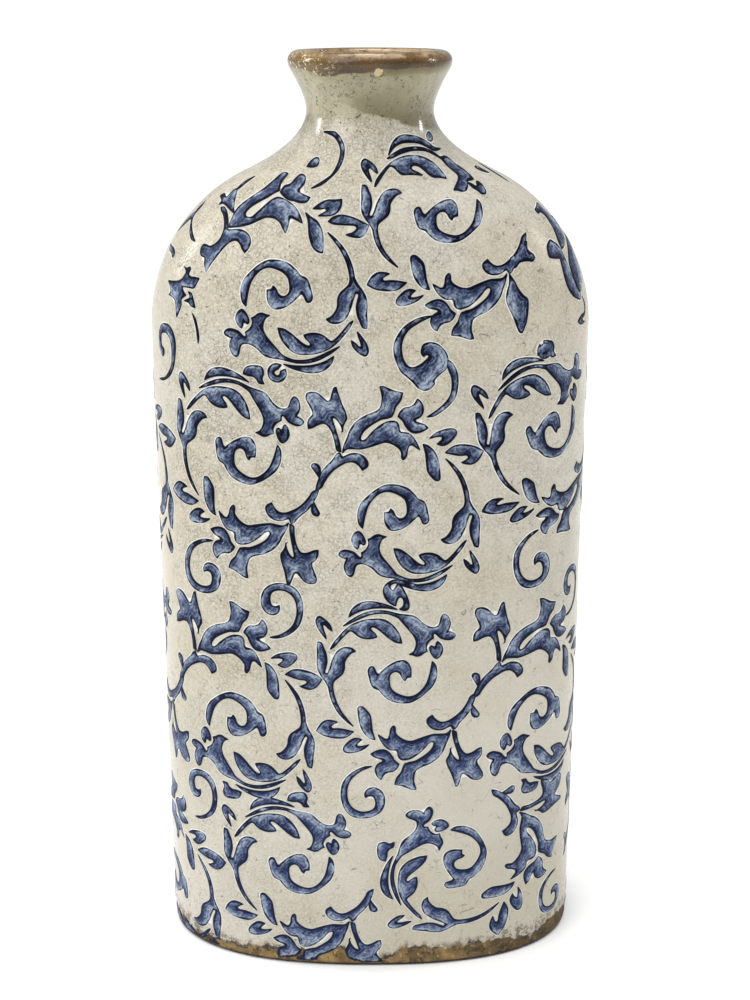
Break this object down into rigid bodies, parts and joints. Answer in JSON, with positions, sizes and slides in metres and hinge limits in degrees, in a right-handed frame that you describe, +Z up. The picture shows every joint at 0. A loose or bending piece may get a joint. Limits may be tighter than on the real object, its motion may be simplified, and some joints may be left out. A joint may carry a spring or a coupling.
{
  "type": "bottle vase",
  "caption": "Tall oval bottle vase in glazed earthenware, flat-fronted, with round shoulders, a short waisted neck, a rolled lip and a bare clay foot.",
  "frame": {"origin": "centre of the foot, on the surface that the vase stands on", "axes": "+Z up along the vase, +X along its wide side, +Y from its front towards its back"},
  "size_m": [0.165, 0.096, 0.35],
  "materials": {
    "bare_clay": "unglazed brown clay, worn at its edge",
    "cream_glaze": "aged cream glaze with brown crackle, satin",
    "brown_glaze": "glossy honey-brown glaze",
    "cobalt_blue": "mottled cobalt blue scroll ornament under glaze"
  },
  "bodies": {
    "root": {"foot_ring": "bare_clay", "base_slab": "bare_clay", "front_half_shell": "cream_glaze", "back_half_shell": "cream_glaze", "neck_collar": "cream_glaze", "rolled_lip": "brown_glaze"}
  },
  "joints": []
}
